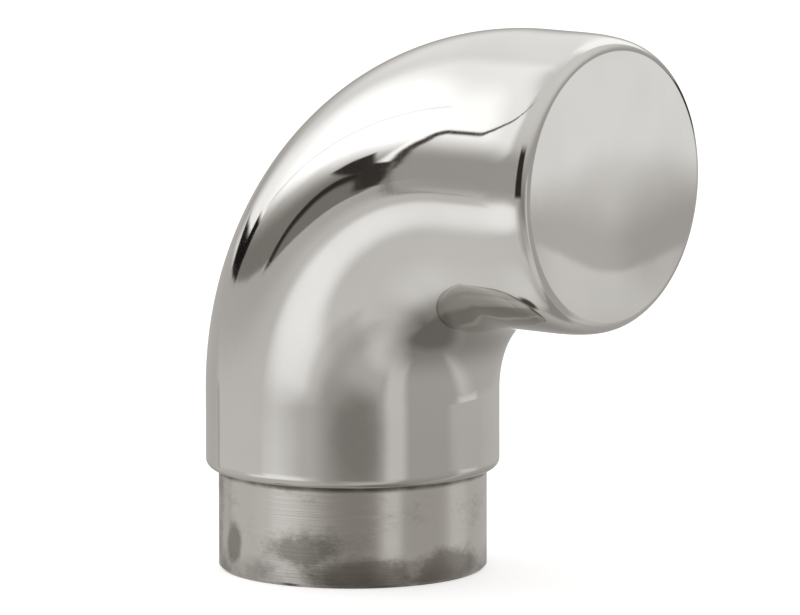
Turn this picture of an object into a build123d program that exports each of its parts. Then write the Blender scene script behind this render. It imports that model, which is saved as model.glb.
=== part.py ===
# Handrail wall return: a cored casting that ends a round handrail against a wall.
# Its spigot fits inside the rail's tube, its body turns 90 degrees flush with the tube,
# and its closed face meets the wall.
#
# Millimetres. The origin is where the spigot's axis meets the shoulder that the tube butts on.
# +Z runs up the spigot's axis into the bend, and +X runs along the arm to the wall face.
from build123d import *
from math import cos, radians, sin
import os

os.makedirs("parts", exist_ok=True)

# Handrail tube that the return is made for
tube_diameter = 50.8
tube_wall = 2.0
spigot_clearance = 0.2

# Spigot
spigot_length = 17.5
spigot_wall = 3.5
spigot_lead = 0.6

# Body
body_wall = 4.0
shoulder_rounding = 1.6
riser_height = 13.5
bend_radius = 39.5
arm_length = 18.0

# Closed end: a flat land, a shallow crown round it, and a rim that is tight at the face
# and runs out slowly along the arm
face_wall = 5.0
crown_radius = 130.0
crown_angle = 5.0
rim_drop = 2.7
rim_corner = 1.8
rim_run_out = 10.0
rim_run_out_pull = 7.6

# Core, the hollow inside
core_neck = 1.0
core_flare = 3.5
core_end_taper_length = 6.0
core_end_taper_drop = 7.0

# Worked-out sizes
tube_radius = tube_diameter / 2
spigot_radius = tube_radius - tube_wall - spigot_clearance
spigot_bore_radius = spigot_radius - spigot_wall
core_radius = tube_radius - body_wall
arm_height = riser_height + bend_radius
face_x = bend_radius + arm_length
core_end_x = face_x - face_wall
core_taper_x = core_end_x - core_end_taper_length

crown_width = crown_radius * sin(radians(crown_angle))
crown_depth = crown_radius * (1 - cos(radians(crown_angle)))
land_radius = tube_radius - rim_drop - crown_width
arm_end_x = face_x - crown_depth - rim_run_out

arm_axis = Axis((0, 0, arm_height), (1, 0, 0))

# The hollow: a bore up the spigot, a flare above the shoulder, then one round section
# round the bend to a tapered end behind the wall face
with BuildPart() as core:
    flare_top = core_neck + core_flare
    with BuildSketch(Plane.XY.offset(-spigot_length)):
        Circle(spigot_bore_radius)
    extrude(amount=spigot_length + core_neck)
    with BuildSketch(Plane.XY.offset(core_neck)):
        Circle(spigot_bore_radius)
    with BuildSketch(Plane.XY.offset(flare_top)):
        Circle(core_radius)
    loft(ruled=True)
    with BuildLine(Plane.XZ):
        Line((0, flare_top), (0, riser_height))
        CenterArc((bend_radius, riser_height), bend_radius, 180, -90)
        Line((bend_radius, arm_height), (core_taper_x, arm_height))
    with BuildSketch(Plane.XY.offset(flare_top)):
        Circle(core_radius)
    sweep()
    with BuildSketch(Plane.YZ.offset(core_taper_x)):
        with Locations((0, arm_height)):
            Circle(core_radius)
    with BuildSketch(Plane.YZ.offset(core_end_x)):
        with Locations((0, arm_height)):
            Circle(core_radius - core_end_taper_drop)
    loft(ruled=True)

with BuildPart() as wall_return_elbow:
    # Outer form: one round section up the riser, round the bend and along the arm
    with BuildLine(Plane.XZ):
        Line((0, 0), (0, riser_height))
        CenterArc((bend_radius, riser_height), bend_radius, 180, -90)
        Line((bend_radius, arm_height), (arm_end_x, arm_height))
    with BuildSketch(Plane.XY):
        Circle(tube_radius)
    sweep()

    # Shoulder that stops the tube, its edge rounded over
    fillet(wall_return_elbow.edges().sort_by(Axis.Z)[0], shoulder_rounding)

    # Closed end, turned about the arm's axis
    with BuildSketch(Plane.XZ):
        with BuildLine():
            land = Line((face_x, arm_height), (face_x, arm_height + land_radius))
            crown = JernArc(land @ 1, land % 1, crown_radius, crown_angle)
            rim_start = Vector(arm_end_x, arm_height + tube_radius)
            rim_start_pull = rim_start + Vector(rim_run_out_pull, 0)
            rim_end_pull = crown @ 1 + rim_corner * (crown % 1)
            Bezier(crown @ 1, rim_end_pull, rim_start_pull, rim_start)
            Polyline(rim_start, (arm_end_x, arm_height), (face_x, arm_height))
        make_face()
    revolve(axis=arm_axis)

    # Spigot that slides into the tube, with a small lead at its foot
    with BuildSketch(Plane.XY):
        Circle(spigot_radius)
    extrude(amount=-spigot_length)
    foot = wall_return_elbow.faces().sort_by(Axis.Z)[0]
    chamfer(foot.edges(), spigot_lead)

    add(core.part, mode=Mode.SUBTRACT)

wall_return_elbow.part.label = "wall_return_elbow"
export_step(wall_return_elbow.part, "parts/wall_return_elbow.step")
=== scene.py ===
# %% [markdown]
# # Handrail wall return
# A wall return brings the end of a round handrail back to its wall. This one is a single
# stainless steel casting: a spigot that slides inside the rail's tube, a shoulder that the tube
# butts on, a tight 90 degree bend, and a closed face that meets the wall. The lesson gives it
# the finish that it has in the hand: a polished body, a plainer turned spigot, a rough hollow.
#
# The imported model is the frame that everything else is measured from. Blender never moves or resizes it,
# so loading it comes first, and its box is kept for the sizes below.

# %% Load the frame
import math

import bpy
import numpy as np
from mathutils import Matrix, Vector, noise


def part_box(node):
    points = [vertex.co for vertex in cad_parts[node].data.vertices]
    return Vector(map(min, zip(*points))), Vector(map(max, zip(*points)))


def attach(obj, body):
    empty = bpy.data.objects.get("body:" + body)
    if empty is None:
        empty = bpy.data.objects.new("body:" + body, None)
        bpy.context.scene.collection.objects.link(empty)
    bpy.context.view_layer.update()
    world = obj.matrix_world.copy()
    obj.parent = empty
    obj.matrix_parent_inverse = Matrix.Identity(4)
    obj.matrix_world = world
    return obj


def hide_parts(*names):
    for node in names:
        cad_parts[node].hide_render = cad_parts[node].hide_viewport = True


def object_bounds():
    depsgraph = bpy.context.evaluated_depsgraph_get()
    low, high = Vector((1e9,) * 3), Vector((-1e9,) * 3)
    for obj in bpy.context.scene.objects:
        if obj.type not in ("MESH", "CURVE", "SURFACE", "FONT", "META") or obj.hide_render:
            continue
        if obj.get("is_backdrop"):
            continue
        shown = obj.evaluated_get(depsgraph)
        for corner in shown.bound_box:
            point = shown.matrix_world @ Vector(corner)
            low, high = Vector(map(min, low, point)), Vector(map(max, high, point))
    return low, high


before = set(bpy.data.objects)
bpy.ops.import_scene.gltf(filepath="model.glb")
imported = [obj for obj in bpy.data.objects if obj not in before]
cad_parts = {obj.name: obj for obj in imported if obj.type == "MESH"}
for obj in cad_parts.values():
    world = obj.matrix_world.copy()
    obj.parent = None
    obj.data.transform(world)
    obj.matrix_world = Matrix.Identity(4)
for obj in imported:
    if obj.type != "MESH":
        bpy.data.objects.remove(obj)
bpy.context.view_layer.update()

elbow_low, elbow_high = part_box("wall_return_elbow")

# %% [markdown]
# ## Sizes
# Most of the fitting's sizes can be read off its box. The body is as wide as the handrail tube,
# the spigot hangs below the shoulder at height zero, and the wall face is the farthest point
# along the arm. Only the sizes that a box can't tell are written here, in metres, with mm as
# a multiplier so that they can be read as a maker would say them.

# %% Sizes of the casting
mm = 0.001
tube_radius = (elbow_high.y - elbow_low.y) / 2
spigot_length = -elbow_low.z
face_x = elbow_high.x
arm_height = elbow_high.z - tube_radius

spigot_radius = 23.2 * mm
spigot_bore_radius = 19.7 * mm
spigot_lead = 0.6 * mm
shoulder_rounding = 1.6 * mm
bend_radius = 39.5 * mm
riser_height = arm_height - bend_radius

crown_radius = 130 * mm
crown_angle = math.radians(5)
rim_drop = 2.7 * mm
rim_corner = 1.8 * mm
rim_run_out = 10 * mm
rim_run_out_pull = 7.6 * mm

core_radius = 21.4 * mm
core_neck = 1 * mm
core_flare_top = 4.5 * mm
core_taper_x = 46.5 * mm
core_end_x = 52.5 * mm
core_end_radius = 14.4 * mm
print("tube", round(2 * tube_radius / mm, 2), "mm, riser", round(riser_height / mm, 2), "mm")

# %% [markdown]
# ## The path through the bend
# The body is one round section carried along a path: straight up the riser, round a quarter
# circle, and straight along the arm. A curve object with a bevel could do it, but its rings can't
# be shaped one by one, and the rim, shoulder and hollow all need that. A small function that
# turns a distance along the path into a place and a lean gives the same path to every ring.

# %% A place on the path
bend_length = bend_radius * math.pi / 2
straight_to_bend = riser_height + bend_length


def place_on_path(distance):
    """The path's point, as x and z, and its lean: 0 points up the riser, a quarter turn along the arm."""
    if distance <= riser_height:
        return 0.0, distance, 0.0
    if distance >= straight_to_bend:
        return bend_radius + distance - straight_to_bend, arm_height, math.pi / 2
    lean = (distance - riser_height) / bend_radius
    x = bend_radius * (1 - math.cos(lean))
    z = riser_height + bend_radius * math.sin(lean)
    return x, z, lean


def distance_at_x(x):
    """How far along the path a point of the arm lies."""
    return straight_to_bend + x - bend_radius


print("path to the wall face:", round(distance_at_x(face_x) / mm, 1), "mm")

# %% [markdown]
# ## Rings from the hollow to the face
# A mirror finish shows every flat facet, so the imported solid's mesh is too coarse for a close
# look. It is rebuilt here as closely spaced rings of the same form. The list starts at the far
# end of the hollow, comes down the bore, turns under the foot, climbs the spigot, steps out at
# the shoulder, follows the bend, and rolls over the rim to the middle of the face. One list of
# rings, each a distance and a radius, is easier to check than separate shells joined later.

# %% Rings of the hollow
rings = []


def add_rings(zone, distances, radii):
    for distance, radius in zip(distances, radii):
        rings.append((zone, float(distance), float(radius)))


def straight(first, last, count):
    return np.linspace(first, last, count)


hollow_from = distance_at_x(core_end_x)
hollow_taper = distance_at_x(core_taper_x)
add_rings("hollow", [hollow_from] * 6, straight(0, core_end_radius, 6))
taper_radii = straight(core_end_radius, core_radius, 6)
add_rings("hollow", straight(hollow_from, hollow_taper, 6)[1:], taper_radii[1:])
add_rings("hollow", straight(hollow_taper, core_flare_top, 60)[1:], [core_radius] * 59)
flare_radii = straight(core_radius, spigot_bore_radius, 5)
add_rings("hollow", straight(core_flare_top, core_neck, 5)[1:], flare_radii[1:])
add_rings("hollow", straight(core_neck, -spigot_length, 10)[1:], [spigot_bore_radius] * 9)
print("rings of the hollow:", len(rings))

# %% Rings of the spigot
foot_radius = spigot_radius - spigot_lead
lead_top = spigot_lead - spigot_length
add_rings("spigot", [-spigot_length] * 3, straight(spigot_bore_radius, foot_radius, 4)[1:])
add_rings("spigot", straight(-spigot_length, lead_top, 3)[1:], straight(foot_radius, spigot_radius, 3)[1:])
add_rings("spigot", straight(lead_top, 0, 20)[1:], [spigot_radius] * 19)
print("rings with the spigot:", len(rings))

# %% Rings of the body
shoulder_inner = tube_radius - shoulder_rounding
turn = straight(0, math.pi / 2, 12)[1:]
add_rings("body", [0] * 2, straight(spigot_radius, shoulder_inner, 3)[1:])
rounding_heights = shoulder_rounding * (1 - np.cos(turn))
add_rings("body", rounding_heights, shoulder_inner + shoulder_rounding * np.sin(turn))

crown_depth = crown_radius * (1 - math.cos(crown_angle))
crown_width = crown_radius * math.sin(crown_angle)
land_radius = tube_radius - rim_drop - crown_width
rim_back = crown_depth + rim_run_out
rim_starts = distance_at_x(face_x - rim_back)
add_rings("body", straight(shoulder_rounding, rim_starts, 130)[1:], [tube_radius] * 129)
print("rings up to the rim:", len(rings))

# %% [markdown]
# ## The rim and the crowned face
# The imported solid's face has a flat land in the middle, a very shallow crown round it, and a rim
# that turns tightly at the face and runs out slowly along the arm. The rim is what makes the
# casting look cast and not sawn off, so it is drawn as one smooth curve with two handles, and not
# as a bevel. The face is softened here as a buffing wheel would: its slope grows evenly from the
# middle to the rim, where it lies 0.17 mm behind the solid's. That turns a blank disc into a slow
# shade of grey.

# %% Rings of the rim and face
face_distance = distance_at_x(face_x)


def rim_curve(share):
    """Depth behind the face and radius, from the arm at 0 to the crown at 1."""
    tangent_in = rim_corner * math.sin(crown_angle), -rim_corner * math.cos(crown_angle)
    crown_rim = crown_depth, land_radius + crown_width
    handles = (
        (rim_back, tube_radius),
        (rim_back - rim_run_out_pull, tube_radius),
        (crown_rim[0] + tangent_in[0], crown_rim[1] - tangent_in[1]),
        crown_rim,
    )
    weights = (1 - share) ** 3, 3 * share * (1 - share) ** 2, 3 * share**2 * (1 - share), share**3
    depth = sum(w * h[0] for w, h in zip(weights, handles))
    radius = sum(w * h[1] for w, h in zip(weights, handles))
    return depth, radius


crown_edge = land_radius + crown_width
buffed_depth = crown_angle * crown_edge / 3
for share in straight(0, 1, 49)[1:]:
    depth, radius = rim_curve(share)
    depth += (buffed_depth - crown_depth) * share
    add_rings("body", [face_distance - depth], [radius])
for radius in straight(crown_edge, 0, 33)[1:]:
    depth = buffed_depth * (radius / crown_edge) ** 3
    add_rings("body", [face_distance - depth], [radius])
print("rings in all:", len(rings))

# %% [markdown]
# ## One closed skin
# Each ring becomes a circle of points square to the path, and neighbouring rings are joined by
# four sided faces. The first and last ring have no width, so each becomes a single point with
# a fan of triangles round it. The result is one closed skin, the hollow included, as the real
# casting is.

# %% Points and faces of the skin
around = 224
turns = np.linspace(0, 2 * math.pi, around, endpoint=False)


def ring_points(distance, radius):
    x, z, lean = place_on_path(distance)
    outward = np.array([-math.cos(lean), 0, math.sin(lean)])
    sideways = np.array([0, 1, 0])
    centre = np.array([x, 0, z])
    return centre + radius * (np.outer(np.cos(turns), outward) + np.outer(np.sin(turns), sideways))


points = [ring_points(*rings[0][1:])[:1]]
points += [ring_points(distance, radius) for zone, distance, radius in rings[1:-1]]
points += [ring_points(*rings[-1][1:])[:1]]
first_of = [0] + [1 + around * k for k in range(len(rings) - 1)]
last_point = first_of[-1]

faces = []
face_zone = []
for k in range(1, len(rings)):
    zone = rings[k][0]
    for j in range(around):
        after = (j + 1) % around
        if k == 1:
            faces.append((0, first_of[1] + j, first_of[1] + after))
        elif k == len(rings) - 1:
            faces.append((first_of[k - 1] + j, last_point, first_of[k - 1] + after))
        else:
            low, high = first_of[k - 1], first_of[k]
            faces.append((low + j, high + j, high + after, low + after))
        face_zone.append(zone)
points = np.concatenate(points)
print("points:", len(points), "faces:", len(faces))

# %% [markdown]
# ## Hand polish in the shape
# A casting that was buffed by hand is never quite true, so the body gets very low swells, a few
# hundredths of a millimetre high and a thumb's width long. They are too low to see as a shape,
# but they bend the reflections, and a body without them looks like a computer's. They are moved
# inward only, so that the casting stays within its box, and they fade out at the shoulder.

# %% Low swells left by the buffing wheel
skin = bpy.data.meshes.new("wall_return_elbow_polished")
skin.from_pydata(points.tolist(), [], faces)
skin.update()

swell_height = 0.035 * mm
swell_length = 17 * mm
fade_height = 6 * mm
normals = np.zeros(len(points) * 3)
skin.vertices.foreach_get("normal", normals)
normals = normals.reshape(-1, 3)
inner_rings = np.arange(1, len(rings) - 1)
ring_of_point = np.concatenate([[0], np.repeat(inner_rings, around), [len(rings) - 1]])
is_body = np.array([rings[k][0] == "body" for k in ring_of_point])
ring_distance = np.array([rings[k][1] for k in ring_of_point])

for i in np.flatnonzero(is_body):
    swell = 0.5 + 0.5 * noise.noise(Vector(points[i]) / swell_length)
    fade = min(1.0, max(0.0, ring_distance[i] / fade_height))
    points[i] -= normals[i] * swell_height * swell * fade
skin.vertices.foreach_set("co", points.astype(np.float32).ravel())
skin.update()
print("highest swell:", swell_height / mm, "mm")

# %% [markdown]
# ## A grain that follows the path
# The turned spigot has fine lines round it, and the buffed body faint ones round its section.
# A texture that is placed by plain x, y and z would cut across the bend, so each point also keeps
# where it is on the unrolled tube: two numbers for round the ring, which close up with no seam,
# and one for how far along the path it lies.

# %% Unrolled place of each point
round_and_along = np.zeros((len(points), 3))
turn_of_point = np.concatenate([[0], np.tile(turns, len(rings) - 2), [0]])
radius_of_point = np.array([rings[k][2] for k in ring_of_point])
round_and_along[:, 0] = radius_of_point * np.cos(turn_of_point)
round_and_along[:, 1] = radius_of_point * np.sin(turn_of_point)
run = 0.0
run_at_ring = [0.0]
for k in range(1, len(rings)):
    run += math.hypot(rings[k][1] - rings[k - 1][1], rings[k][2] - rings[k - 1][2])
    run_at_ring.append(run)
round_and_along[:, 2] = np.array(run_at_ring)[ring_of_point]
grain = skin.attributes.new("round_and_along", "FLOAT_VECTOR", "POINT")
grain.data.foreach_set("vector", round_and_along.astype(np.float32).ravel())
print("length of the profile:", round(run / mm), "mm")

# %% Make the piece
elbow = bpy.data.objects.new("polished_wall_return", skin)
bpy.context.scene.collection.objects.link(elbow)
skin.shade_smooth()
skin.set_sharp_from_angle(angle=math.radians(35))
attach(elbow, "root")
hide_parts("wall_return_elbow")
print("triangles:", sum(len(f) - 2 for f in faces))

# %% [markdown]
# ## Small helpers for finishes
# A finish in Blender is a graph of nodes. These helpers make a node, set its plain values and
# link what feeds it in one line, so that each finish below reads as a short recipe.

# %% Node helpers


def node(tree, kind, inputs=None, **settings):
    """A new node, with settings for its own options and a dict of values or links for its sockets."""
    made = tree.nodes.new(kind)
    for name, value in settings.items():
        setattr(made, name, value)
    for name, value in (inputs or {}).items():
        if isinstance(value, bpy.types.NodeSocket):
            tree.links.new(value, made.inputs[name])
        else:
            made.inputs[name].default_value = value
    return made


def arithmetic(tree, operation, first, second=0.0, third=0.0):
    """One step of arithmetic between values."""
    made = node(tree, "ShaderNodeMath", {0: first, 1: second, 2: third}, operation=operation)
    return made.outputs["Value"]


def vector_arithmetic(tree, operation, first, second):
    """One step of arithmetic between directions or places."""
    made = node(tree, "ShaderNodeVectorMath", {0: first, 1: second}, operation=operation)
    return made.outputs["Vector"]


def blotches(tree, place, scale, detail=3.0, roughness=0.5):
    """Soft cloudy noise, from 0 to 1."""
    inputs = {"Vector": place, "Scale": scale, "Detail": detail, "Roughness": roughness}
    return node(tree, "ShaderNodeTexNoise", inputs).outputs["Fac"]


def spread(tree, value, low, high, to_low, to_high):
    """Value from low..high, eased into to_low..to_high."""
    inputs = {"Value": value, "From Min": low, "From Max": high, "To Min": to_low, "To Max": to_high}
    return node(tree, "ShaderNodeMapRange", inputs, interpolation_type="SMOOTHSTEP").outputs["Result"]


def stretched(tree, place, factors):
    """The same place, stretched by a factor along each direction."""
    return vector_arithmetic(tree, "MULTIPLY", place, factors)


def blend(tree, share, first, second):
    """A colour between two colours."""
    made = node(tree, "ShaderNodeMix", data_type="RGBA")
    for name, value in (("Factor", share), ("A", first), ("B", second)):
        sockets = [s for s in made.inputs if s.name == name and s.enabled]
        if isinstance(value, bpy.types.NodeSocket):
            tree.links.new(value, sockets[0])
        else:
            sockets[0].default_value = value
    return next(s for s in made.outputs if s.enabled)


def bare_metal(name):
    """A material with a metal shader, its tree and its shader."""
    material = bpy.data.materials.new(name)
    material.use_nodes = True
    tree = material.node_tree
    shader = tree.nodes["Principled BSDF"]
    shader.inputs["Metallic"].default_value = 1.0
    return material, tree, shader


# %% [markdown]
# ## Mirror polish
# The polished steel is written as reflecting about three quarters of the light, a little more of the red
# than of the blue. A perfect mirror looks false, because a wheel leaves hair lines round the section and
# patches where the shine is a touch duller. So the roughness is low but never even: broad patches, a few
# smears, and lines that follow the path. A very small bump breaks the sharpest reflections without hiding
# them. Deep inside the bend the base colour is darker, as painted shade, and a darker, rougher patch sits
# on the front of the riser. Painted shade also darkens the lower right of the face and the steel just
# above the shoulder.

# %% Patches, marks and painted shade
mirror, tree, shader = bare_metal("mirror_polished_stainless")
place = node(tree, "ShaderNodeTexCoord").outputs["Object"]
lay = node(tree, "ShaderNodeAttribute", attribute_name="round_and_along").outputs["Vector"]
patches = blotches(tree, place, 55.0, 3.0)


def nearness(tree, place, centre, radii, softness):
    """1 inside an oval round a centre, easing to 0 outside it. A radius of None is endless."""
    scale = [0.0 if r is None else 1 / r for r in radii]
    offset = vector_arithmetic(tree, "SUBTRACT", place, centre)
    scaled = vector_arithmetic(tree, "MULTIPLY", offset, scale)
    out = node(tree, "ShaderNodeVectorMath", {0: scaled}, operation="LENGTH").outputs["Value"]
    return spread(tree, out, 1 - softness / 2, 1 + softness / 2, 1.0, 0.0)


# Inside the bend the base colour is darkened towards a dark steel: painted shade in the throat.
throat_centre = bend_radius + 1 * mm, 0.0, riser_height + 1.5 * mm
up_riser = node(tree, "ShaderNodeSeparateXYZ", {"Vector": place}).outputs["Z"]
throat_painted_shade = nearness(tree, place, throat_centre, (20.6 * mm, None, 20.6 * mm), 0.26)
throat_foot = spread(tree, up_riser, 16 * mm, 27 * mm, 0.0, 1.0)
throat_painted_shade = arithmetic(tree, "MULTIPLY", throat_painted_shade, throat_foot)
# A darker, rougher patch on the front of the riser.
mark_centre = 16.5 * mm, -19.3 * mm, 8 * mm
mark_cloud = blotches(tree, place, 260.0, 5.0, 0.6)
mark_near = nearness(tree, place, mark_centre, (5 * mm, 5 * mm, 7 * mm), 1.1)
mark = arithmetic(tree, "MULTIPLY", mark_near, mark_cloud)
# The lower right of the face gets a darker base colour: painted shade.
face_shade_centre = face_x, 14 * mm, arm_height - 8 * mm
face_painted_shade = nearness(tree, place, face_shade_centre, (4 * mm, 13 * mm, 12 * mm), 1.2)
# Just above the shoulder the base colour darkens towards a darker steel: painted shade.
shoulder_painted_shade = spread(tree, up_riser, 0.4 * mm, 2 * mm, 0.85, 0.0)

# %% Mirror polish
steel_light = (0.79, 0.779, 0.752, 1.0)
steel_dark = (0.755, 0.744, 0.717, 1.0)
# A darker steel, for the patch on the riser and for the painted shade on the face and above the shoulder.
steel_darker_and_shaded = (0.5, 0.485, 0.46, 1.0)
# The dark steel of the painted shade inside the bend.
throat_shade_steel = (0.36, 0.345, 0.325, 1.0)
steel = blend(tree, spread(tree, patches, 0.35, 0.7, 0, 1), steel_light, steel_dark)
steel = blend(tree, spread(tree, throat_painted_shade, 0, 1, 0, 0.9), steel, throat_shade_steel)
steel = blend(tree, spread(tree, mark, 0, 0.6, 0, 0.45), steel, steel_darker_and_shaded)
steel = blend(tree, spread(tree, face_painted_shade, 0, 1, 0, 0.45), steel, steel_darker_and_shaded)
steel = blend(tree, shoulder_painted_shade, steel, steel_darker_and_shaded)
tree.links.new(steel, shader.inputs["Base Color"])
hair_lines = blotches(tree, stretched(tree, lay, (60.0, 60.0, 5200.0)), 1.0, 2.0)
buffed = blotches(tree, stretched(tree, lay, (90.0, 90.0, 260.0)), 1.0, 0.0)
dull = spread(tree, patches, 0.42, 0.72, 0.03, 0.065)
lines = spread(tree, hair_lines, 0.45, 0.75, 0.0, 0.03)
rough = arithmetic(tree, "ADD", dull, lines)
rough = arithmetic(tree, "MULTIPLY_ADD", mark, 0.12, rough)
tree.links.new(rough, shader.inputs["Roughness"])
polish_bump = node(tree, "ShaderNodeBump", {"Height": buffed, "Strength": 0.012, "Distance": 0.2 * mm})
tree.links.new(polish_bump.outputs["Normal"], shader.inputs["Normal"])

# %% [markdown]
# ## The spigot's plain finish
# Nobody sees the spigot once the rail is on, so it is left as it was turned and wiped: fine lines round
# it, a grey that is duller than the body, and smudges from handling. The lines are bumps along the axis
# only, so they smear reflections up and down but keep the upright bands, as turned metal does. A painted
# shadow darkens it just under the shoulder, and it is also made darker towards the foot.

# %% Smudges on the spigot
satin, tree, shader = bare_metal("turned_satin_stainless")
place = node(tree, "ShaderNodeTexCoord").outputs["Object"]
lay = node(tree, "ShaderNodeAttribute", attribute_name="round_and_along").outputs["Vector"]
cloud = blotches(tree, stretched(tree, place, (95.0, 95.0, 140.0)), 1.0, 6.0, 0.66)
skin_ridges = blotches(tree, stretched(tree, place, (900.0, 900.0, 1500.0)), 1.0, 3.0, 0.7)
smudge_places = (
    # azimuth, height in mm, half width, half height, share
    (-22, -11.8, 2.4, 3.4, 1.0),
    (20, -11, 5.5, 3.2, 0.6),
    (44, -15.6, 8.5, 3.0, 1.0),
    (84, -15.2, 7.5, 3.2, 1.0),
    (-40, -6, 2.5, 8, 0.7),
    (150, -8, 6, 4, 0.7),
    (215, -13, 7, 3.5, 0.8),
    (290, -9, 5, 4, 0.7),
)
smudged = 0.0
for around_to, up, wide, tall, share in smudge_places:
    east = math.sin(math.radians(around_to)) * spigot_radius
    north = -math.cos(math.radians(around_to)) * spigot_radius
    near = nearness(tree, place, (east, north, up * mm), (wide * mm, wide * mm, tall * mm), 1.3)
    near = arithmetic(tree, "MULTIPLY", near, share)
    smudged = arithmetic(tree, "MAXIMUM", near, smudged)
ridged = arithmetic(tree, "MULTIPLY_ADD", skin_ridges, 0.35, cloud)
smudge = arithmetic(tree, "MULTIPLY_ADD", smudged, 0.55, ridged)
wiped = spread(tree, smudge, 0.66, 1.12, 0, 1)

# %% Turned and wiped spigot
below_shoulder = node(tree, "ShaderNodeSeparateXYZ", {"Vector": place}).outputs["Z"]
# Just under the shoulder the spigot is darkened: a painted shadow of the shoulder.
shoulder_shadow_line = spread(tree, below_shoulder, -1.5 * mm, -0.2 * mm, 0.0, 0.9)
# The spigot is also made darker towards its foot.
darker_towards_foot = spread(tree, below_shoulder, -spigot_length, -spigot_length + 8 * mm, 0.6, 0.0)
shadow_and_foot_dark = arithmetic(tree, "ADD", shoulder_shadow_line, darker_towards_foot)
shadow_and_foot_dark = arithmetic(tree, "MULTIPLY", shadow_and_foot_dark, cloud)
shadow_and_foot_dark = spread(tree, shadow_and_foot_dark, 0.05, 0.5, 0, 1)
satin_clean = (0.72, 0.7, 0.665, 1.0)
satin_smudged = (0.36, 0.34, 0.31, 1.0)
# The colour of the painted shadow under the shoulder and of the darker foot.
shadow_and_foot_colour = (0.16, 0.145, 0.125, 1.0)
steel = blend(tree, wiped, satin_clean, satin_smudged)
steel = blend(tree, shadow_and_foot_dark, steel, shadow_and_foot_colour)
tree.links.new(steel, shader.inputs["Base Color"])
turned_lines = blotches(tree, stretched(tree, lay, (45.0, 45.0, 3800.0)), 1.0, 3.0)
satin_rough = spread(tree, turned_lines, 0.3, 0.75, 0.11, 0.22)
satin_rough = arithmetic(tree, "MULTIPLY_ADD", wiped, 0.12, satin_rough)
tree.links.new(satin_rough, shader.inputs["Roughness"])
turned_lay = {"Height": turned_lines, "Strength": 0.3, "Distance": 0.03 * mm}
turned_bump = node(tree, "ShaderNodeBump", turned_lay)
tree.links.new(turned_bump.outputs["Normal"], shader.inputs["Normal"])

# %% [markdown]
# ## The hollow, as cast
# The photograph doesn't show the hollow, so its finish is a guess: the dull, dark and grainy skin
# that a sand core would leave. It is seen only from below, but a part is turned over in the hand.

# %% As cast hollow
cast, tree, shader = bare_metal("as_cast_hollow")
place = node(tree, "ShaderNodeTexCoord").outputs["Object"]
sand = blotches(tree, place, 900.0, 4.0)
scale_patches = blotches(tree, place, 90.0, 4.0)
cast_light = (0.4, 0.385, 0.36, 1.0)
cast_dark = (0.24, 0.225, 0.205, 1.0)
tree.links.new(blend(tree, scale_patches, cast_light, cast_dark), shader.inputs["Base Color"])
tree.links.new(spread(tree, sand, 0.3, 0.7, 0.5, 0.72), shader.inputs["Roughness"])
cast_bump = node(tree, "ShaderNodeBump", {"Height": sand, "Strength": 0.6, "Distance": 0.15 * mm})
tree.links.new(cast_bump.outputs["Normal"], shader.inputs["Normal"])

# %% Give each zone its finish
finishes = {"body": mirror, "spigot": satin, "hollow": cast}
for material in finishes.values():
    skin.materials.append(material)
order = list(finishes)
skin.polygons.foreach_set("material_index", [order.index(zone) for zone in face_zone])
print("finishes:", [m.name for m in skin.materials])

# %% [markdown]
# ## The floor
# A pale, plain floor shows the casting's shadow. The painted room lights it at about two thirds
# of a plain level, so for the camera alone it also gives off what is missing to white.

# %% Pale floor
floor_mesh = bpy.data.meshes.new("floor")
floor_half = 3.0
floor_z = -spigot_length
corners = [(-1, -1), (1, -1), (1, 1), (-1, 1)]
floor_points = [(x * floor_half, y * floor_half, floor_z) for x, y in corners]
floor_mesh.from_pydata(floor_points, [], [(0, 1, 2, 3)])
floor = bpy.data.objects.new("floor", floor_mesh)
bpy.context.scene.collection.objects.link(floor)
floor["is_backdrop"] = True
pale = bpy.data.materials.new("pale_floor")
pale.use_nodes = True
tree = pale.node_tree
tree.nodes.clear()
floor_grey = (0.8, 0.8, 0.8, 1.0)
missing_to_white = 0.57
matt = node(tree, "ShaderNodeBsdfDiffuse", {"Color": floor_grey})
seen = node(tree, "ShaderNodeLightPath").outputs["Is Camera Ray"]
lift = arithmetic(tree, "MULTIPLY", seen, missing_to_white)
glow = node(tree, "ShaderNodeEmission", {"Color": (1, 1, 1, 1), "Strength": lift})
both = node(tree, "ShaderNodeAddShader", {0: matt.outputs["BSDF"], 1: glow.outputs["Emission"]})
node(tree, "ShaderNodeOutputMaterial", {"Surface": both.outputs["Shader"]})
floor_mesh.materials.append(pale)
floor.visible_glossy = False

# %% [markdown]
# ## The studio
# Polished metal has no look of its own: it shows the room. The room here is painted on the
# world, by azimuth and height above the horizon, the way a photographer hangs white cloths and
# black cards round a bright object. Azimuth 0 is the side that faces along minus Y, and it grows
# towards plus X. Both are in degrees. The shapes are simple ones that stand for the reflections in
# the photograph: each one's place and shade follows what the metal shows there. A little noise is
# added to the directions, so that nothing in the room has a ruler's edge.

# %% Directions of the studio
world = bpy.data.worlds.new("studio")
bpy.context.scene.world = world
world.use_nodes = True
studio = world.node_tree
studio.nodes.clear()
direction = node(studio, "ShaderNodeTexCoord").outputs["Generated"]
parts = node(studio, "ShaderNodeSeparateXYZ", {"Vector": direction}).outputs


def sums(operation, first, second=0.0, third=0.0):
    """One step of arithmetic between values of the studio."""
    return arithmetic(studio, operation, first, second, third)


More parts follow.
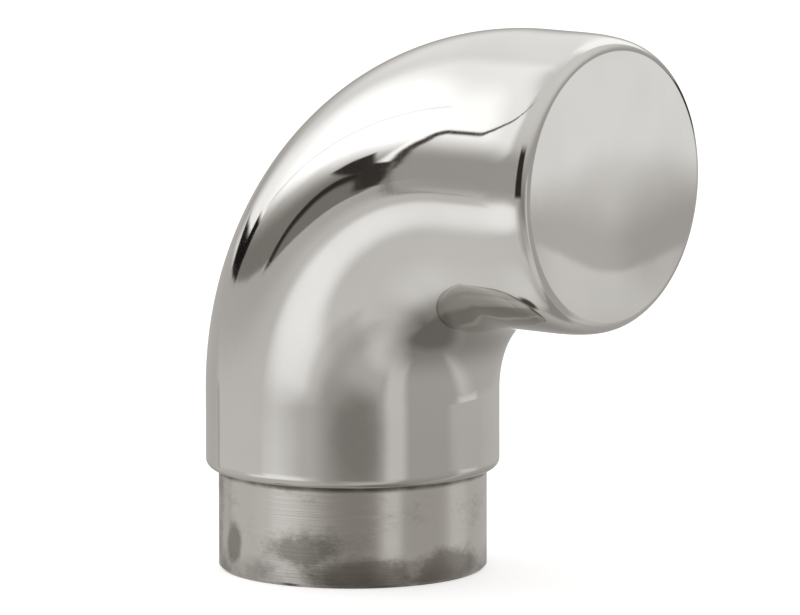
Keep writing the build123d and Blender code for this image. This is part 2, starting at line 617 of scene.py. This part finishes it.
wander_noise = {"Vector": direction, "Scale": 13.0, "Detail": 2.0}
wander = node(studio, "ShaderNodeTexNoise", wander_noise).outputs["Fac"]
drift = sums("SUBTRACT", wander, 0.5)
wander_width = 1.4
toward_viewer = sums("MULTIPLY", parts["Y"], -1.0)
true_height = sums("DEGREES", sums("ARCSINE", parts["Z"]))
true_azimuth = sums("DEGREES", sums("ARCTAN2", parts["X"], toward_viewer))
azimuth = sums("MULTIPLY_ADD", drift, wander_width, true_azimuth)
height = sums("MULTIPLY_ADD", drift, -wander_width / 2, true_height)
azimuth_behind = sums("WRAP", azimuth, 360.0, 0.0)
ahead_parts = {"X": azimuth, "Y": height, "Z": 1.0}
behind_parts = {"X": azimuth_behind, "Y": height, "Z": 1.0}
ahead = node(studio, "ShaderNodeCombineXYZ", ahead_parts).outputs["Vector"]
behind = node(studio, "ShaderNodeCombineXYZ", behind_parts).outputs["Vector"]

# %% [markdown]
# ## Shapes to hang in the studio
# Three kinds of shape are enough for a whole room. A sheet has straight sides and a softness for each of
# them: a hard side is a near card, a soft one a far cloth. A pool is a soft oval, like a lamp on a wall. A
# cord is a strip whose azimuth wanders with its height, drawn with a few points on a curve. Each one
# covers what hangs behind it, so they are hung from back to front.

# %% Sheets, pools and cords


def soft_side(value, low, high):
    """Eases from 0 to 1 as the value goes from low to high."""
    return spread(studio, value, low, high, 0.0, 1.0)


def hang(room, mask, light):
    """The room with a light laid over it where the mask says."""
    return node(studio, "ShaderNodeMix", {"Factor": mask, "A": room, "B": light}).outputs["Result"]


def sheet(room, corners, light, softness, share=1.0):
    """A sheet by its corners in turn, with a softness for the side after each corner."""
    spot = behind if max(corner[0] for corner in corners) > 180 else ahead
    pairs = list(zip(corners, corners[1:] + corners[:1]))
    twice_area = sum(a[0] * b[1] - b[0] * a[1] for a, b in pairs)
    inward = math.copysign(1.0, twice_area)
    inside = 1.0
    for (first, second), soft in zip(pairs, softness):
        length = math.dist(first, second) * soft
        across = inward * (first[1] - second[1]) / length
        upward = inward * (second[0] - first[0]) / length
        line = across, upward, 0.5 - across * first[0] - upward * first[1]
        from_side = node(studio, "ShaderNodeVectorMath", {0: spot, 1: line}, operation="DOT_PRODUCT")
        inside = sums("MINIMUM", from_side.outputs["Value"], inside)
    return hang(room, spread(studio, inside, 0.0, 1.0, 0.0, share), light)


def pool(room, at, size, light, softness, share=1.0, above=None):
    """A soft oval, and only above a height if one is given."""
    across = sums("MULTIPLY_ADD", azimuth, 2 / size[0], -2 * at[0] / size[0])
    upward = sums("MULTIPLY_ADD", height, 2 / size[1], -2 * at[1] / size[1])
    out = sums("SQRT", sums("MULTIPLY_ADD", across, across, sums("MULTIPLY", upward, upward)))
    mask = spread(studio, out, 1 - softness / 2, 1 + softness / 2, share, 0.0)
    if above is not None:
        mask = sums("MULTIPLY", mask, soft_side(height, above - 0.4, above + 0.4))
    return hang(room, mask, light)


def cord(room, line, width, light, softness, share=1.0, fades_between=None):
    """A strip along points of height and azimuth, which may fade out between two heights."""
    low, high = line[0][0], line[-1][0]
    west = min(over for up, over in line) - 1
    east = max(over for up, over in line) + 1
    way_up = sums("MULTIPLY_ADD", height, 1 / (high - low), -low / (high - low))
    drawn = node(studio, "ShaderNodeFloatCurve", {"Value": way_up})
    curve = drawn.mapping.curves[0]
    at = [((up - low) / (high - low), (over - west) / (east - west)) for up, over in line]
    curve.points[0].location, curve.points[1].location = at[0], at[-1]
    for point in at[1:-1]:
        curve.points.new(*point)
    drawn.mapping.update()
    middle = sums("MULTIPLY_ADD", drawn.outputs["Value"], east - west, west)
    off = sums("ABSOLUTE", sums("SUBTRACT", azimuth, middle))
    mask = spread(studio, off, width / 2 - softness / 2, width / 2 + softness / 2, 1.0, 0.0)
    fade_from, fade_to = fades_between or (high - 0.4, high + 0.4)
    top = spread(studio, height, fade_from, fade_to, share, 0.0)
    foot = soft_side(height, low - 0.4, low + 0.4)
    return hang(room, sums("MULTIPLY", sums("MULTIPLY", mask, top), foot), light)


# %% [markdown]
# ## Walls, floor and shade
# First the bare room, as a few shades of grey from straight down to straight up. Then the lit
# floor near the object, and the shade below it.

# %% Bare room
bare_room = [(-90, 0.3), (-60, 0.6), (-20, 0.6), (5, 0.4), (40, 0.7), (90, 0.7)]
way_to_zenith = sums("MULTIPLY_ADD", true_height, 1 / 180, 0.5)
shades = node(studio, "ShaderNodeFloatCurve", {"Value": way_to_zenith})
shade_line = shades.mapping.curves[0]
shade_line.points[0].location = 0.0, bare_room[0][1]
shade_line.points[1].location = 1.0, bare_room[-1][1]
for up, light in bare_room[1:-1]:
    shade_line.points.new((up + 90) / 180, light)
shades.mapping.update()
room = shades.outputs["Value"]
print("shades of the bare room:", len(bare_room))

# %% Floor and shade
room = sheet(room, [(60, -64), (250, -64), (250, -95), (60, -95)], 0.3, [18, 30, 6, 30])
room = sheet(room, [(146, -9), (250, -9), (250, -62), (146, -62)], 0.46, [8, 30, 16, 24])
room = pool(room, (-58, -63), (76, 26), 0.72, 1.3)
room = sheet(room, [(-52, -10), (20, -12.8), (20, -28), (-52, -28)], 0.8, [5, 20, 10, 14])
room = pool(room, (-23, -18.5), (42, 17), 0.99, 1.25)
room = sheet(room, [(12, 0), (66, 0), (66, -56), (16, -56)], 0.47, [14, 26, 34, 16])
room = pool(room, (42, -9), (46, 25), 0.27, 1.5)
room = sheet(room, [(60, 6), (134, 6), (134, -66), (60, -66)], 0.41, [10, 14, 16, 8])
room = pool(room, (54, -53), (44, 30), 0.64, 1.1)
room = sheet(room, [(66, 2), (82, 2), (80, -50), (62, -50)], 0.68, [6, 9, 20, 9], 0.8)
room = sheet(room, [(130, -4), (200, -4), (200, -13), (130, -13)], 0.52, [4, 10, 8, 14])
print("lit floor and shade hung")

# %% [markdown]
# ## White cloth and table
# The big white reflection on the bend looks like a cloth with a lamp behind it, brightest in the
# middle. The sharp line that it ends on looks like a table's far edge, so it is drawn as one.

# %% White cloth and table
room = sheet(room, [(-165, 12), (-112, 12), (-104, 74), (-165, 74)], 0.88, [24, 30, 30, 20])
cloth = [(-110, 1), (-44, 1), (-22, 24), (-22, 50), (-38, 66), (-110, 66)]
room = sheet(room, cloth, 1.04, [10, 6, 14, 14, 22, 18])
room = pool(room, (-72, 28), (54, 38), 1.5, 0.9)
room = sheet(room, [(-46.2, -3), (0, -3), (0, 22), (-46.2, 22)], 0.38, [8, 16, 18, 1.5])
room = sheet(room, [(-134, 0.8), (-41, 0.8), (-42, -10), (-134, -10)], 0.48, [0.8, 9, 7, 20])
room = sheet(room, [(-92, -5.5), (-36, -5.5), (-36, -12), (-92, -12)], 0.6, [7, 8, 4, 14])
room = sheet(room, [(-93, -8), (-89.5, -8), (-89.5, -13), (-93, -13)], 0.3, [1, 2, 2, 2], 0.5)
print("cloth and table hung")

# %% [markdown]
# ## Clutter at the cloth's foot
# The dark marks in the bend can't be told for certain, so each is drawn as the plain thing that it
# looks like: a grey foot, a black wedge, a round stand, a black clamp, and a cable across the
# cloth's edge. They are what tells the eye that this is a mirror. The cable, seam and crease have
# only the few points that their sweep needs.

# %% Grey foot and black wedge
room = sheet(room, [(-88.3, 1), (-48, 1), (-50, 20), (-70, 14), (-88.3, 10.5)], 0.22, [1.2, 3, 9, 15, 1.4])
wedge = [(-110, 4.2), (-101.5, 0.9), (-88.3, 0.9), (-88.2, 5.4), (-98, 5.2)]
room = sheet(room, wedge, 0.01, [1.2, 0.6, 1.2, 1.4, 1])
room = sheet(room, [(-95, 3.4), (-88.1, 3.4), (-88.2, 7.6), (-93.8, 8)], 0.01, [1, 1.2, 1.4, 1.4])
print("foot and wedge hung")

# %% Round stand and clamp
room = pool(room, (-52.2, 0), (17.4, 20), 0.03, 0.13, above=0.2)
room = pool(room, (-50.8, -0.6), (14.4, 15.6), 0.2, 0.3, above=0.2)
room = sheet(room, [(-60.4, 13.4), (-53.2, 17.4), (-47.8, 10.4), (-50.5, 9.4)], 0.035, [0.9, 1, 1.2, 1])
clamp_arm = [(-51, 13), (-46.4, 12), (-44.4, 9.4), (-42.6, 1), (-45, 1.6), (-49.6, 8)]
room = sheet(room, clamp_arm, 0.04, [1, 0.8, 0.8, 1, 1, 1])
print("stand and clamp hung")

# %% Cable and seam
cable = [(8, -45), (28, -46), (45, -36), (70, -10)]
room = cord(room, cable, 2, 0.06, 1.2, fades_between=(58, 70))
seam = [(-7, -39), (12, -46)]
room = cord(room, seam, 0.7, 0.2, 0.6, 0.75)
crease = [(9, -90), (24, -75), (42, -58)]
room = cord(room, crease, 1.3, 0.7, 1.1, 0.6)
print("cable and seam hung")

# %% [markdown]
# ## Cards behind and beside
# A lamp and a low black bar stand behind the object, and a black card to the right of the viewer.
# Only the tight rim and the silhouette catch them, as the fine bright and dark lines that draw
# the casting's edge.

# %% Cards behind and beside
room = sheet(room, [(178, 17), (212, 17), (214, 58), (180, 62)], 1.15, [10, 12, 14, 12])
room = sheet(room, [(152, 4.5), (212, 4.5), (212, -3.5), (153, -3)], 0.05, [2, 4, 3, 2])
room = pool(room, (-99, -60), (20, 7), 0.07, 0.8)
room = sheet(room, [(0, -5.2), (28, -5.2), (28, 28), (3, 30)], 0.03, [3.4, 9, 9, 5])
room = sheet(room, [(2, -12), (30, -12), (30, -46), (2, -46)], 0.36, [3, 12, 10, 10], 0.4)
print("cards hung")

# %% [markdown]
# ## What the face sees
# The face is nearly flat, so it shows only a small piece of the room: a light wall, a slow shade
# below it, and the edge of the pale floor, which draws the curved line low on the face.

# %% Wall and floor for the face
room = sheet(room, [(129, 2), (157, 2), (157, -10), (129, -9.5)], 0.84, [6, 6, 1, 8])
room = sheet(room, [(122, -7.3), (163, -7.3), (163, -10.7), (122, -9.6)], 0.5, [3, 8, 0.4, 10])
room = sheet(room, [(133, -9.9), (154, -10.5), (154, -15), (133, -15)], 0.68, [0.5, 8, 6, 10])
print("nodes of the studio:", len(studio.nodes))

# %% [markdown]
# ## Warm shade, neutral light
# In the photograph the light reflections are neutral and the dark ones are warmer. A ramp gives
# each level of light its tint.

# %% Tint of the room
tints = node(studio, "ShaderNodeValToRGB", {"Fac": room})
shade_tints = [(0.0, (1.0, 0.9, 0.8)), (0.4, (1.0, 0.96, 0.92)), (0.9, (1.0, 1.0, 1.0))]
for _ in shade_tints[2:]:
    tints.color_ramp.elements.new(0.5)
for stop, (light, tint) in zip(tints.color_ramp.elements, shade_tints):
    stop.position = light
    stop.color = (*tint, 1.0)
lit_room = node(studio, "ShaderNodeBackground", {"Color": tints.outputs["Color"], "Strength": room})
print("tints:", len(shade_tints))

# %% [markdown]
# ## White backdrop
# Behind the object hangs a plain white backdrop. Light Path tells the world what kind of ray has
# reached it: one from the camera, or one through glass, always sees the backdrop, and one off the
# metal sees it where it looks straight on behind the object. That draws the fine white line
# along the casting's edge. Every other reflection sees the painted room.

# %% White backdrop
white_backdrop = node(studio, "ShaderNodeBackground", {"Color": (1.0, 1.0, 1.0, 1.0), "Strength": 1.0})
paths = node(studio, "ShaderNodeLightPath").outputs
behind_object = pool(0.0, (-142, -8), (9, 8), 1.0, 0.8)
in_metal = sums("MULTIPLY", paths["Is Glossy Ray"], behind_object)
seen = sums("MAXIMUM", in_metal, sums("MAXIMUM", paths["Is Camera Ray"], paths["Is Transmission Ray"]))
studio_light = node(
    studio,
    "ShaderNodeMixShader",
    {0: seen, 1: lit_room.outputs["Background"], 2: white_backdrop.outputs["Background"]},
)
node(studio, "ShaderNodeOutputWorld", {"Surface": studio_light.outputs["Shader"]})

# %% [markdown]
# ## The camera
# The view is from the face's side and a little above, through a long lens, as product
# photographs are taken so that the round section doesn't swell. Its place is worked out from the
# angle and the distance, and it looks at the middle of the casting.

# %% Camera
view_azimuth = math.radians(39.18)
view_height = math.radians(8.24)
view_roll = math.radians(-0.054)
view_distance = 1.2
aim_right, aim_up, aim_height = 8.2 * mm, -2.4 * mm, 30 * mm
right = Vector((math.cos(view_azimuth), math.sin(view_azimuth), 0))
back = Vector(
    (
        math.sin(view_azimuth) * math.cos(view_height),
        -math.cos(view_azimuth) * math.cos(view_height),
        math.sin(view_height),
    )
)
up = back.cross(right)
eye = bpy.data.objects.new("camera", bpy.data.cameras.new("camera"))
bpy.context.scene.collection.objects.link(eye)
eye.data.sensor_width = 36
eye.data.lens = 313.26
eye.data.clip_start, eye.data.clip_end = 0.05, 20
looks_at = right * aim_right + up * aim_up + Vector((0, 0, aim_height))
axes = Matrix((right, up, back)).transposed().to_4x4()
stands_at = Matrix.Translation(looks_at + back * view_distance)
eye.matrix_world = stands_at @ axes @ Matrix.Rotation(view_roll, 4, "Z")
bpy.context.scene.camera = eye
bpy.context.scene.view_settings.view_transform = "Standard"

# %% Print the visual box and finish
low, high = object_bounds()
print("visual box, metres:", [round(v, 4) for v in (*low, *high)])
